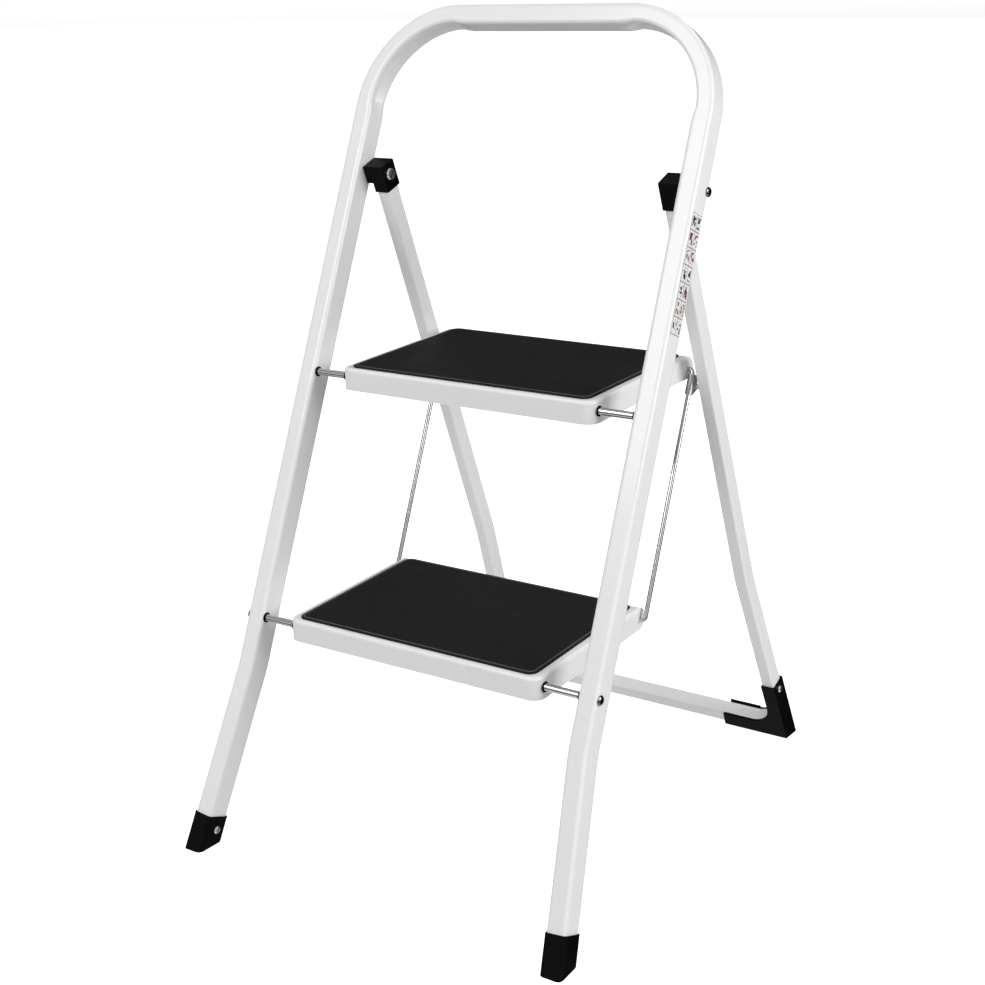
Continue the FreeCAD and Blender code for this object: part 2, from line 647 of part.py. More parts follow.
def rear_shoe(name, side, tube, ground):
    """A moulded shoe that wraps a lower corner of the rear frame from outside and below."""
    body = DOC.addObject("PartDesign::Body", name + "_shoe_block")
    body.Placement = REAR * at(turn=facing(side))
    depth = "(rear_deep / 2 + shoe_wall)"
    outer = "(rear_spread + rear_wide / 2 + shoe_wall)"
    inner = "(rear_spread - rear_wide / 2 + shoe_open)"
    low, high = "(-bar_face - 5 * shoe_sole)", "(shoe_tall - bar_face)"
    bar_top = "(rear_wide - bar_face - shoe_open)"
    walls = sketch(body, name + "_shoe_outline", "XY_Plane")
    polygon(walls, [("rear_spread - shoe_long", low),
                    (outer + " + rear_slope * 5 * shoe_sole", low),
                    (outer + " - rear_slope * shoe_tall", high),
                    (inner + " - rear_slope * shoe_tall", high),
                    (inner + " - rear_slope * rear_wide / 2", bar_top),
                    ("rear_spread - shoe_long", bar_top)])
    block_pad = pad(body, name + "_shoe_walls", walls, f"2 * {depth}", both=True)
    corner = Vector(worth(inner + " - rear_slope * rear_wide / 2"), worth(bar_top), 0)
    dress(body, name + "_shoe_bend", block_pad,
          lambda ends: along(ends, "z") and abs(ends[0].x - corner.x) + abs(ends[0].y - corner.y) < 0.1,
          "bar_bend - rear_wide / 2 + shoe_open")
    heel = sketch(body, name + "_heel_outline", "XY_Plane",
                  "-" + depth if side > 0 else depth + " - shoe_wall")
    rectangle(heel, "rear_spread - shoe_long", "rear_spread - bar_bend", bar_top, bar_top + " + heel_rise")
    pad(body, name + "_heel_wall", heel, "shoe_wall")
    hole = leg_sketch(body, name + "_shoe_rivet_hole", size("rear_spread"), -size("bar_axis"),
                      splay_angle("rear_slope"))
    circle(hole, "shoe_rivet_up - rear_wide / 2", None, "shoe_rivet_dia")
    body.Tip = pocket(body, name + "_shoe_rivet_seat", hole, "rear_wide", flip=True)
    hollow = cut(name + "_shoe_hollow", body, tube)
    return node(f"rear_foot_{name}", cut(f"rear_foot_{name}", hollow, ground))


# ---------------------------------------------------------------- steps


def step_tray(name, up):
    """A pressed tray: top plate, skirts at front and sides, ears behind, a short lip across the back."""
    body = new_body(f"{name}_step_tray", step_place(up))
    plan = sketch(body, name + "_tray_plan", "XY_Plane", "-tray_low")
    rectangle(plan, "-tray_half", "tray_half", "-tray_front", "ear_back")
    base = pad(body, name + "_tray_block", plan, "tray_skirt")
    front = -size("tray_front") + 0.01
    corners = dress(body, name + "_tray_corners", base,
                    lambda ends: along(ends, "z") and ends[0].y < front, "tray_corner")
    high = size("tray_top") - 0.01
    rolled = dress(body, name + "_tray_rolled", corners,
                   lambda ends: min(p.z for p in ends) > high and min(p.y for p in ends) < front + 20,
                   "tray_edge")
    inside = sketch(body, name + "_tray_inside", "XY_Plane", "tray_top - tray_sheet")
    half, lead = "tray_half - tray_sheet", "tray_sheet - tray_front"
    rounded_rectangle(inside, f"tray_sheet - tray_half", half, lead, "ear_back + 2 * tray_corner",
                      "tray_corner - tray_sheet")
    hollow = pocket(body, name + "_tray_hollow", inside, "tray_skirt")
    top = size("tray_top") - size("tray_sheet")
    soft = dress(body, name + "_tray_soft", hollow,
                 lambda ends: all(abs(p.z - top) < 0.01 for p in ends)
                 and abs(ends[0].y - ends[-1].y) + abs(ends[0].x - ends[-1].x) > 1
                 and not (along(ends, "x") and ends[0].y > 0), "tray_edge - tray_sheet")
    behind = sketch(body, name + "_tray_behind", "XY_Plane", "tray_top")
    rectangle(behind, f"tray_edge - tray_half", "tray_half - tray_edge", "tray_back", "2 * ear_back")
    pocket(body, name + "_tray_rear", behind, "tray_skirt")
    lip = sketch(body, name + "_tray_lip", "XY_Plane", "tray_top - rear_lip")
    rectangle(lip, "lip_gap - tray_half", "tray_half - lip_gap", "tray_back - tray_sheet", "tray_back")
    pad(body, name + "_rear_lip", lip, "rear_lip")
    ends = sketch(body, name + "_ear_ends", "YZ_Plane")
    for level, way in (("tray_top", 1), ("-tray_low", -1)):
        corner_off(ends, "ear_back", level, "ear_round", way)
    pocket(body, name + "_round_ears", ends, "4 * tray_half", both=True)
    pins = sketch(body, name + "_tray_pins", "YZ_Plane")
    circle(pins, None, None, "axle_dia + 2 * run_fit")
    circle(pins, "link_back", "-link_down", "wire_dia + 2 * run_fit")
    body.Tip = pocket(body, name + "_tray_holes", pins, "4 * tray_half", both=True)


def step_mat(name, up):
    """The rubber mat glued on a tray."""
    body = new_body(f"{name}_step_mat", step_place(up))
    plan = sketch(body, name + "_mat_plan", "XY_Plane", "tray_top")
    half = "tray_half - mat_side"
    rounded_rectangle(plan, f"-({half})", half, "mat_lead - tray_front", "tray_back - mat_trail",
                      "mat_corner")
    sheet = pad(body, name + "_mat_sheet", plan, "mat_thick")
    high = size("tray_top") + size("mat_thick") - 0.01
    body.Tip = dress(body, name + "_mat_edge", sheet,
                     lambda ends: min(p.z for p in ends) > high, "mat_bevel", "Chamfer")


def axles():
    """Two rods. The lower one is clamped between the legs' outer walls by a screw in each end."""
    low, high = step_place("axle_low"), step_place("axle_low + axle_rise")
    reach = "leg_axis + tube_wide / 2 - tube_wall"
    bar = rod("lower_axle_bar", "axle_dia", f"2 * ({reach})", low * at(-worth(reach)))
    taps = []
    for name, side in SIDES:
        end = low * at(side * worth(reach), turn=Rotation(AXIS_Z, 0 if side < 0 else 180))
        taps.append(rod(name + "_axle_tap", "axle_screw_dia", "axle_tap", end))
    node("lower_axle", cut("lower_axle", bar, joined("axle_taps", taps)))
    reach = "leg_axis - axle_short"
    node("upper_axle", rod("upper_axle", "axle_dia", f"2 * ({reach})", high * at(-worth(reach))))
    screws = [screw(name + "_axle_screw", low * at(side * size("front_half"), turn=turned(side)),
                    "screw_head", "axle_screw_dia", "axle_tap + tube_wall") for name, side in SIDES]
    group("axle_screws", screws)
    clips = []
    for name, up in STEPS:
        for hand, side in SIDES:
            place = step_place(up) * at(side * (size("tray_half") - size("clip_inset")),
                                        turn=turned(side))
            ring = rod(f"{name}_{hand}_ring", "clip_dia", "clip_thick", place)
            bore = rod(f"{name}_{hand}_bore", "axle_dia", "clip_thick", place)
            clips.append(cut(f"{name}_{hand}_clip", ring, bore))
    group("axle_clips", clips)


# ---------------------------------------------------------------- pivots and small fasteners


def pivots():
    """Each rear leg turns on a sleeve nut, which a screw through the front leg draws up tight."""
    centre = FRONT * at(0, size("pivot_up"), -size("pivot_back"))
    screws, nuts = [], []
    for name, side in SIDES:
        out = centre * at(side * size("front_half"), turn=turned(side))
        screws.append(screw(name + "_pivot_screw", out, "screw_head", "pivot_dia",
                            "front_half - cap_inner - tube_wall"))
        head_face = size("cap_inner") - worth("gap")
        head = centre * at(side * head_face, turn=turned(-side))
        flange = taper(name + "_nut_head", "sleeve_head", "sleeve_head * 0.85", "sleeve_head_tall", head)
        barrel = rod(name + "_nut_barrel", "sleeve_dia", "leg_inner - cap_inner + gap",
                     centre * at(side * head_face, turn=turned(side)))
        bore = rod(name + "_nut_bore", "pivot_dia", "leg_inner - cap_inner + gap",
                   centre * at(side * head_face, turn=turned(side)))
        arms = []
        for turn in (0, 90):
            arm = block(f"{name}_nut_slot_{turn}",
                        ["recess_deep", "recess_wide", "sleeve_head * 0.5"],
                        head * at(0, 0, 0, Rotation(AXIS_X, turn))
                        * at(worth("sleeve_head_tall - recess_deep"), -worth("recess_wide") / 2,
                             -worth("sleeve_head") * 0.25))
            arms.append(arm)
        body = joined(name + "_nut_blank", [flange, barrel])
        hollow = joined(name + "_nut_hollow", [bore] + arms)
        nuts.append(cut(name + "_sleeve_nut", body, hollow))
    group("pivot_screws", screws)
    group("pivot_sleeve_nuts", nuts)


def foot_fasteners():
    """Screws hold the front feet from the inner side, rivets hold the rear ones from the outer side."""
    screws, rivets = [], []
    for name, side in SIDES:
        leg = FRONT * at(side * size("front_spread"), 0, 0,
                         Rotation(AXIS_Z, side * splay_angle("splay_slope")))
        place = leg * at(-side * worth("tube_wide / 2 + foot_wall"), size("foot_screw_up"),
                         -size("foot_screw_back"), turned(-side))
        head = taper(name + "_foot_head", "foot_head", "foot_head * 0.75", "foot_head_tall", place)
        stem = rod(name + "_foot_shank", "foot_screw_dia", "foot_wall + tube_wide / 2",
                   place * at(-worth("foot_wall + tube_wide / 2")))
        screws.append(joined(name + "_foot_screw", [head, stem]))
        corner = REAR * at(side * size("rear_spread"), -size("bar_axis"), 0,
                           Rotation(AXIS_Z, side * splay_angle("rear_slope")))
        spot = corner * at(side * worth("rear_wide / 2 + shoe_wall"),
                           worth("shoe_rivet_up - rear_wide / 2"), 0, turned(side))
        cap = taper(name + "_rivet_head", "foot_head", "foot_head * 0.75", "foot_head_tall", spot)
        pin = rod(name + "_rivet_pin", "shoe_rivet_dia", "shoe_wall + rear_wall",
                  spot * at(-worth("shoe_wall + rear_wall")))
        rivets.append(joined(name + "_rivet", [cap, pin]))
    group("front_foot_screws", screws)
    group("rear_foot_rivets", rivets)


# ---------------------------------------------------------------- wires and guides


def link(name, side):
    """A bent wire between the two ears, its push nuts, and the guide that slides on it."""
    eye = step_place("axle_low + axle_rise") * at(0, size("link_back"), -size("link_down"))
    place = Placement(eye.Base, FRONT.Rotation) * at(turn=facing(side))
    body = new_body(f"link_wire_{name}", place)
    path = sketch(body, name + "_wire_path")
    tail = "tray_half - wire_tail"
    bent_path(path, [(tail, None), ("wire_x", None), ("wire_x", "-axle_rise"), (tail, "-axle_rise")],
              ["wire_bend", "wire_bend"])
    section = sketch(body, name + "_wire_section", "YZ_Plane", tail)
    circle(section, None, None, "wire_dia")
    sweep(body, name + "_wire", path, section)
    nuts = []
    for level, drop in (("upper", 0), ("lower", -size("axle_rise"))):
        inner = place * at(worth("tray_half - tray_sheet - gap - clip_thick"), drop, 0)
        ring = rod(f"{name}_{level}_nut_ring", "push_nut_dia", "clip_thick", inner)
        bore = rod(f"{name}_{level}_nut_bore", "wire_dia", "clip_thick", inner)
        nuts.append(cut(f"{name}_{level}_push_nut", ring, bore))
    group(f"link_push_nuts_{name}", nuts)


def wire_guide(name, side):
    """A strip curled round the wire, so that it slides on it, with a pointed cheek riveted to the leg."""
    eye = step_place("axle_low + axle_rise") * at(0, size("link_back"), -size("link_down"))
    place = Placement(eye.Base, FRONT.Rotation)
    body = new_body(f"wire_guide_{name}", place)
    bore, curl = "(wire_dia + 2 * run_fit)", "(wire_dia + 2 * run_fit + 2 * guide_sheet)"
    x = "wire_x" if side > 0 else "-wire_x"
    ring = sketch(body, name + "_curl_outline", "XZ_Plane", "guide_top")
    circle(ring, x, None, curl)
    pad(body, name + "_curl", ring, "guide_long")
    cheek = f"(wire_x + {bore} / 2)"
    plate = sketch(body, name + "_cheek_outline", "YZ_Plane",
                   cheek if side > 0 else f"-{cheek} - guide_sheet")
    polygon(plate, [("-guide_top", "0"), ("-guide_top - guide_long", "0"),
                    ("-guide_top - guide_long", "-guide_sheet"),
                    ("guide_low - guide_top - guide_long", "-guide_deep"),
                    ("-guide_top", "-guide_rear")])
    pad(body, name + "_cheek", plate, "guide_sheet")
    hole = sketch(body, name + "_wire_hole", "XZ_Plane")
    circle(hole, x, None, bore)
    pocket(body, name + "_wire_bore", hole, "4 * guide_long", both=True)
    pin = sketch(body, name + "_guide_pin_hole", "YZ_Plane")
    circle(pin, "-guide_pin_down", "-guide_pin_back", "guide_pin_dia")
    body.Tip = pocket(body, name + "_guide_pierced", pin, "4 * rear_half", both=True)
    spot = place * at(side * worth(cheek), -size("guide_pin_down"), -size("guide_pin_back"))
    head = taper(name + "_guide_head", "guide_pin_head", "guide_pin_head * 0.7", "guide_pin_head_tall",
                 spot * at(turn=turned(-side)))
    stem = rod(name + "_guide_stem", "guide_pin_dia", "guide_sheet", spot * at(turn=turned(side)))
    collar = rod(name + "_guide_collar", "guide_collar", f"rear_inner - gap - {cheek} - guide_sheet",
                 spot * at(side * size("guide_sheet"), turn=turned(side)))
    node(f"guide_rivet_{name}", joined(f"guide_rivet_{name}", [head, stem, collar]))


def label():
    node("instruction_label",
         block("instruction_label", ["label_thick", "label_long", "label_wide"],
               FRONT * at(size("front_half"), size("label_low"), -size("label_wide") / 2)))


# ---------------------------------------------------------------- build and write


def build():
    front_frame()
    rear_frame()
    tube = rear_u("rear_tube_space", hollow=False)
    NODES.pop("rear_tube_space")
    ground = block("below_floor", ["4 * front_half", "4 * front_half", "front_half"],
                   at(-2 * size("front_half"), -2 * size("front_half"), -size("front_half")))
    for name, side in SIDES:
        front_foot(name, side, ground)
        pivot_cap(name, side)
        rear_shoe(name, side, tube, ground)
        link(name, side)
        wire_guide(name, side)
    for name, up in STEPS:
        step_tray(name, up)
        step_mat(name, up)
    axles()
    pivots()
    foot_fasteners()
    label()
    DOC.recompute()


def check():
    """Stops before anything is written if an object failed or a sub-part is empty or broken."""
    for thing in DOC.Objects:
        if {"Invalid", "Error"} & set(thing.State):
            raise RuntimeError(f"{thing.Label} is {thing.State}")
    for label_text, thing in NODES.items():
        if thing.Shape.isNull() or not thing.Shape.isValid() or not thing.Shape.Solids:
            raise RuntimeError(f"{label_text} has no sound solid")


build()
check()
os.makedirs("parts", exist_ok=True)
for label_text, thing in NODES.items():
    thing.Shape.exportStep(f"parts/{label_text}.step")
    print(label_text, len(thing.Shape.Solids), round(thing.Shape.Volume, 1), thing.Shape.BoundBox)
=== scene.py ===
# %% [markdown]
# Folding step stool: the look of each finish, and the bent and moulded pieces
#
# The stool is already there as a frame of exact parts in metres: +Z is up, the steps face -Y, and the origin
# is on the floor in the middle of the feet. This lesson loads that frame and gives every part a finish. It
# rebuilds the pieces whose surface has more to show than the exact part, which are the bent hoop and the
# moulded mats, and adds thin dark rings at the axles, which are painted shadow in the gaps round them.

import json
import math

import bmesh
import bpy
from mathutils import Matrix, Vector


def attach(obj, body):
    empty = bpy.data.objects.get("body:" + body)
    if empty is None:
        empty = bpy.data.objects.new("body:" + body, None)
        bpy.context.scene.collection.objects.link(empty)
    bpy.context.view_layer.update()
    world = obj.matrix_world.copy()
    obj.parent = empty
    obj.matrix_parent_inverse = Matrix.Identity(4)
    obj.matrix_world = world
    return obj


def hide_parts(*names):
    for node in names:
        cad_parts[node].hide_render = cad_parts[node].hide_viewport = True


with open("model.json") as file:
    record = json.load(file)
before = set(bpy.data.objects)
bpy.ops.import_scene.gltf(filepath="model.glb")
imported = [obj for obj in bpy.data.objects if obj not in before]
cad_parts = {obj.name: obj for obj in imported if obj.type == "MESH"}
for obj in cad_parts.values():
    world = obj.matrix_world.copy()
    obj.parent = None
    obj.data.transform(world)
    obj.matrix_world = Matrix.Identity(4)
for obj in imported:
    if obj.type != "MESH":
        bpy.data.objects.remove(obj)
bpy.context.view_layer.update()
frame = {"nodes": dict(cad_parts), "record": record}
MM = 0.001


# %% [markdown]
# ## Shader maths written as Python
#
# A finish is easier to read as an expression than as a web of nodes. One small class wraps a socket, so that
# mask * 2 + 1 adds the Math nodes that work it out, and one method adds every other kind of node.

# %% A wrapped socket
class Sock:
    """A shader socket, or a number, that can be used in sums."""

    def __init__(self, tree, out):
        self.tree, self.out = tree, out

    def node(self, kind, settings=None, **values):
        """Adds a node. settings are its own properties, values its inputs by name."""
        made = self.tree.nodes.new(kind)
        for name, value in (settings or {}).items():
            if name == "stops":
                ramp = made.color_ramp.elements
                while len(ramp) < len(value):
                    ramp.new(0.5)
                for stop, (place, colour) in zip(ramp, value):
                    stop.position, stop.color = place, colour
            else:
                setattr(made, name, value)
        for name, value in values.items():
            key = int(name[1:]) if name[0] == "_" else name.replace("_", " ")
            self.join(value, made.inputs[key])
        return made

    def join(self, value, socket):
        if isinstance(value, Sock):
            self.tree.links.new(value.out, socket)
        else:
            socket.default_value = value

    def maths(self, operation, *others):
        values = {f"_{i}": v for i, v in enumerate((self,) + others)}
        made = self.node("ShaderNodeMath", {"operation": operation}, **values)
        return Sock(self.tree, made.outputs[0])

    def __add__(self, other):
        return self.maths("ADD", other)

    def __sub__(self, other):
        return self.maths("SUBTRACT", other)

    def __mul__(self, other):
        return self.maths("MULTIPLY", other)


class Finish:
    """A material under construction: its tree, its shader and its object coordinates."""

    def __init__(self, name, **constants):
        self.material = bpy.data.materials.new(name)
        self.material.use_nodes = True
        self.tree = self.material.node_tree
        self.shader = self.tree.nodes["Principled BSDF"]
        for socket, value in constants.items():
            self.shader.inputs[socket.replace("_", " ")].default_value = value
        place = self.tree.nodes.new("ShaderNodeTexCoord")
        self.place = Sock(self.tree, place.outputs["Object"])
        parts = self.place.node("ShaderNodeSeparateXYZ", Vector=self.place)
        self.x, self.y, self.z = (Sock(self.tree, parts.outputs[i]) for i in range(3))

    def noise(self, scale, detail=2.0, stretch=(1, 1, 1)):
        """Cloudy noise from 0 to 1, stretched along an axis where its factor is small."""
        place = self.place.node("ShaderNodeMapping", Vector=self.place, Scale=stretch)
        made = self.place.node("ShaderNodeTexNoise", Vector=Sock(self.tree, place.outputs[0]),
                               Scale=scale, Detail=detail)
        return Sock(self.tree, made.outputs["Fac"])

    def ramp(self, value, *stops):
        """Straight lines between (value, result) stops of greys."""
        stops = [(at, (grey, grey, grey, 1)) for at, grey in stops]
        made = value.node("ShaderNodeValToRGB", {"stops": stops}, Fac=value)
        return Sock(self.tree, made.outputs["Color"])

    def mix(self, amount, first, second):
        """A colour between two colours."""
        made = self.place.node("ShaderNodeMix", {"data_type": "RGBA"}, _0=amount, _6=first, _7=second)
        return Sock(self.tree, made.outputs[2])

    def set(self, **links):
        for name, value in links.items():
            self.place.join(value, self.shader.inputs[name.replace("_", " ")])
        return self

    def bump(self, height, distance, strength):
        made = self.place.node("ShaderNodeBump", Height=height, Distance=distance, Strength=strength)
        return self.set(Normal=Sock(self.tree, made.outputs[0]))


FINISHES = {}
print("shader helpers ready")


# %% [markdown]
# ## White powder coat
#
# The tubes and trays are steel under a baked powder coat. It is a thick, slightly wavy white film: the waves
# (orange peel) are far shallower than they are wide, so they show only in the reflections. A low bump and a
# slow change of roughness do that, and the colour hardly changes.

# %% White coat
def white_coat():
    coat = Finish("white_coat", Coat_Weight=0.25, Coat_Roughness=0.12, Specular_IOR_Level=0.5)
    peel = coat.noise(260.0, detail=1.0)
    cloud = coat.noise(9.0)
    coat.set(Base_Color=coat.mix(cloud, (0.80, 0.80, 0.80, 1), (0.84, 0.84, 0.84, 1)))
    coat.set(Roughness=coat.ramp(cloud, (0.3, 0.26), (0.7, 0.34)))
    coat.bump(peel, 0.00006, 0.5)
    return coat.material


FINISHES["white_coat"] = white_coat()
print("white coat made")


# %% [markdown]
# ## Black plastic
#
# Feet, shoes, pivot caps and washers are moulded in black plastic, and the thin dark rings at the axles,
# which are painted shadow, have the same finish. A mould gives a fine even grain, and handling leaves it a
# little smoother in places.

# %% Black plastic
def black_plastic():
    plastic = Finish("black_plastic", Specular_IOR_Level=0.05)
    grain, wear_and_bead_highlight = plastic.noise(1500.0, detail=1.0), plastic.noise(40.0)
    plastic.set(Base_Color=plastic.mix(wear_and_bead_highlight, (0.002, 0.002, 0.0024, 1), (0.004, 0.004, 0.0046, 1)))
    plastic.set(Roughness=plastic.ramp(wear_and_bead_highlight, (0.3, 0.32), (0.7, 0.44)))
    plastic.bump(grain, 0.00005, 0.6)
    return plastic.material


FINISHES["black_plastic"] = black_plastic()
print("black plastic made")


# %% [markdown]
# ## Black rubber
#
# The mats are moulded rubber. Fine ribs run from front to back for grip. Object coordinates are enough,
# because the mats lie flat: the ribs are a wave along X. The top of the thin bead round the mat is painted
# paler, a painted highlight for the line of light it catches, and its points carry an attribute that says
# where.

# %% Black rubber
RIB_PITCH = 2.2 * MM


def black_rubber():
    rubber = Finish("black_rubber", Specular_IOR_Level=0.06)
    dust = rubber.noise(160.0, detail=4.0, stretch=(0.3, 1, 1))
    ribs = (rubber.x * (2 * math.pi / RIB_PITCH)).maths("SINE") * 0.5 + 0.5
    bead = rubber.place.node("ShaderNodeAttribute", {"attribute_name": "bead"})
    wear_and_bead_highlight = Sock(rubber.tree, bead.outputs["Fac"])
    field = rubber.mix(dust, (0.013, 0.013, 0.014, 1), (0.018, 0.018, 0.019, 1))
    # painted highlight: the bead's top is drawn pale grey in place of the line of light along it
    rubber.set(Base_Color=rubber.mix(wear_and_bead_highlight, field, (0.11, 0.11, 0.11, 1)))
    rubber.set(Roughness=rubber.ramp(dust, (0.3, 0.55), (0.7, 0.7)))
    rubber.bump(ribs, 0.0001, 0.5)
    return rubber.material


FINISHES["black_rubber"] = black_rubber()
print("black rubber made")


# %% [markdown]
# ## Plated steel
#
# Axles and wires are drawn rod with a bright plating, so the faint scratches run along them. The fasteners
# have the same plating without the lines, and the guides are duller sheet with the cloudy look of zinc. The
# plating is painted near black in a screw's drive recess, wherever the metal around closes it in: painted
# shade where the recess falls dark. The four screws on the legs' outer faces have a darker plating.

# %% Bright rod, fasteners and zinc sheet
def bright_rod():
    rod = Finish("bright_rod", Metallic=1.0)
    lines = rod.noise(900.0, detail=2.0, stretch=(0.02, 1, 1))
    rod.set(Base_Color=rod.mix(lines, (0.45, 0.46, 0.48, 1), (0.62, 0.63, 0.64, 1)))
    rod.set(Roughness=rod.ramp(lines, (0.3, 0.10), (0.7, 0.2)))
    return rod.material


def plated_fastener():
    plate = Finish("plated_fastener", Metallic=1.0)
    cloud = plate.noise(300.0, detail=3.0)
    # painted shade: ambient occlusion turns the plating near black in recesses, where shade falls
    closed_in = plate.place.node("ShaderNodeAmbientOcclusion", {"samples": 8}, Distance=0.003)
    outside_recess_shade = plate.ramp(Sock(plate.tree, closed_in.outputs["AO"]), (0.35, 0.0), (0.62, 1.0))
    plating_colour = plate.mix(cloud, (0.74, 0.75, 0.76, 1), (0.88, 0.88, 0.88, 1))
    plate.set(Base_Color=plate.mix(outside_recess_shade, (0.02, 0.02, 0.02, 1), plating_colour))
    plate.set(Roughness=plate.ramp(cloud, (0.3, 0.24), (0.7, 0.36)))
    return plate.material


def dark_screw():
    screw = Finish("dark_screw", Metallic=1.0)
    cloud = screw.noise(300.0, detail=3.0)
    screw.set(Base_Color=screw.mix(cloud, (0.10, 0.10, 0.11, 1), (0.22, 0.22, 0.23, 1)))
    screw.set(Roughness=screw.ramp(cloud, (0.3, 0.16), (0.7, 0.26)))
    return screw.material


def zinc_sheet():
    zinc = Finish("zinc_sheet", Metallic=1.0)
    cloud = zinc.noise(220.0, detail=4.0)
    zinc.set(Base_Color=zinc.mix(cloud, (0.26, 0.26, 0.25, 1), (0.52, 0.52, 0.50, 1)))
    zinc.set(Roughness=zinc.ramp(cloud, (0.3, 0.3), (0.7, 0.45)))
    return zinc.material


FINISHES.update(dark_screw=dark_screw(), bright_rod=bright_rod(), plated_fastener=plated_fastener(),
                zinc_sheet=zinc_sheet())
print("metals made")


# %% [markdown]
# ## Sticker
#
# The right front leg carries a long thin sticker: two columns of seven plain panels with thin borders, and a
# small soft mark in each. The leg leans back, so two sums of the object's Y and Z give one axis that runs up
# the leg and one across it. The panels then come from how far a point is from the middle of its own panel.

# %% Printed sticker
LEAN = math.radians(22.85)  # the front legs lean back from upright
LABEL_MIDDLE = Vector((0, -24.1, 573.2)) * MM
LABEL_LONG, LABEL_WIDE, LABEL_ROWS, LABEL_COLUMNS = 112.0 * MM, 19.0 * MM, 7, 2
PANEL_BORDER, PANEL_FIELD = 0.46, 0.34  # half widths, where a panel is 1 wide


def printed_sticker():
    paper = Finish("printed_sticker", Specular_IOR_Level=0.4)
    sine, cosine = math.sin(LEAN), math.cos(LEAN)
    up, middle_up = (at.y * sine + at.z * cosine for at in (paper, LABEL_MIDDLE))
    across, middle_across = (at.z * sine - at.y * cosine for at in (paper, LABEL_MIDDLE))
    row = (up - middle_up) * (LABEL_ROWS / LABEL_LONG) + LABEL_ROWS / 2
    column = (across - middle_across) * (LABEL_COLUMNS / LABEL_WIDE) + LABEL_COLUMNS / 2
    from_row = (row.maths("FRACT") - 0.5).maths("ABSOLUTE")
    from_column = (column.maths("FRACT") - 0.5).maths("ABSOLUTE")
    border = from_row.maths("MAXIMUM", from_column).maths("GREATER_THAN", PANEL_BORDER)
    inside = from_row.maths("MAXIMUM", from_column).maths("LESS_THAN", PANEL_FIELD)
    blot = paper.noise(300.0, detail=1.0).maths("GREATER_THAN", 0.5) * inside
    tint = paper.noise(45.0, detail=0.0).maths("GREATER_THAN", 0.5)
    ink = paper.mix(tint, (0.02, 0.02, 0.02, 1), (0.22, 0.05, 0.05, 1))
    plain = paper.mix(paper.noise(400.0), (0.72, 0.72, 0.72, 1), (0.80, 0.80, 0.80, 1))
    lined = paper.mix(border, plain, (0.30, 0.28, 0.28, 1))
    paper.set(Base_Color=paper.mix(blot, lined, ink))
    paper.set(Roughness=paper.ramp(paper.noise(400.0), (0.3, 0.4), (0.7, 0.5)))
    return paper.material


FINISHES["printed_sticker"] = printed_sticker()
print("sticker made")


# %% Put each finish on its parts
slots = {part["node"]: part["material_slot"] for part in frame["record"]["subparts"]}
OUTER_SCREWS = {"axle_screws": "dark_screw", "pivot_screws": "dark_screw"}
for name, part in frame["nodes"].items():
    part.data.materials.clear()
    part.data.materials.append(FINISHES[OUTER_SCREWS.get(name, slots[name])])
print("finished parts:", len(slots))


# %% [markdown]
# ## Where the frame and the steps are
#
# The hoop is bent flat and then leans back, and the trays sit on axles on its legs. It is easiest to model
# each piece flat, in its own plane, and to turn the finished mesh into place with one matrix.

# %% Places
LEGS_FRONT = -266.117 * MM  # the leaning legs' axis meets the floor here
AXLE_LOW, AXLE_RISE, AXLE_AHEAD = 235.3 * MM, 252.9 * MM, 7.0 * MM
TRAY_TILT = math.radians(1.7)


def hoop_place():
    """X across, Y up the legs, Z out of the front of the tube."""
    return Matrix.Translation((0, LEGS_FRONT, 0)) @ Matrix.Rotation(math.radians(90) - LEAN, 4, "X")


def step_place(up):
    """At an axle's middle: X across, Y towards the back of the tray, Z up."""
    axle = hoop_place() @ Vector((0, up, AXLE_AHEAD))
    return Matrix.Translation(axle) @ Matrix.Rotation(TRAY_TILT, 4, "X")


STEPS = {"lower": step_place(AXLE_LOW), "upper": step_place(AXLE_LOW + AXLE_RISE)}
print("axles at", [tuple(round(v, 4) for v in place.translation) for place in STEPS.values()])


# %% Make an object from a bmesh
WELD = 0.01 * MM  # points closer than this are one


def piece(name, bm, place, finish, body, *stands_for):
    """Turns a bmesh that was modelled flat into a finished, placed object that rides on a body."""
    bmesh.ops.remove_doubles(bm, verts=bm.verts, dist=WELD)
    bmesh.ops.recalc_face_normals(bm, faces=bm.faces)
    bmesh.ops.transform(bm, matrix=place, verts=bm.verts)
    mesh = bpy.data.meshes.new(name)
    bm.to_mesh(mesh)
    bm.free()
    mesh.shade_smooth()
    mesh.materials.append(FINISHES[finish])
    made = bpy.data.objects.new(name, mesh)
    bpy.context.scene.collection.objects.link(made)
    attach(made, body)
    if stands_for:
        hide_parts(*stands_for)
    print(name, "faces:", len(mesh.polygons))
    return made


print("pieces are welded at", WELD)


# %% [markdown]
# ## Bent hoop
#
# The front frame is one tube, bent round a former. In the two big corners the bender pushes the inner wall
# into the tube, which leaves a long soft trough with a short start at each end. The exact part has flat
# walls, so the hoop is made again: one rounded section, run along straights and spun round the bends as the
# tube itself was, then mirrored. The trough is a smooth push on the inner wall's points.

# %% Tube section
TUBE_WIDE, TUBE_DEEP, TUBE_ROUND = 19.5 * MM, 26.5 * MM, 3.5 * MM
RAIL_AXIS = 873.5 * MM - TUBE_WIDE / 2
LEG_AXIS = 202.5 * MM - TUBE_WIDE / 2
RAIL_BEND, SPLAY_BEND, SPLAY_START = 95.0 * MM, 150.0 * MM, 185.0 * MM
FOOT_AXIS, TUBE_END = 209.0 * MM, 12.0 * MM
ROUND_STEPS, WALL_CUTS, RAIL_BEND_STEPS, SPLAY_BEND_STEPS = 4, 9, 36, 4
CORNER = Vector((LEG_AXIS - RAIL_BEND, RAIL_AXIS - RAIL_BEND, 0))


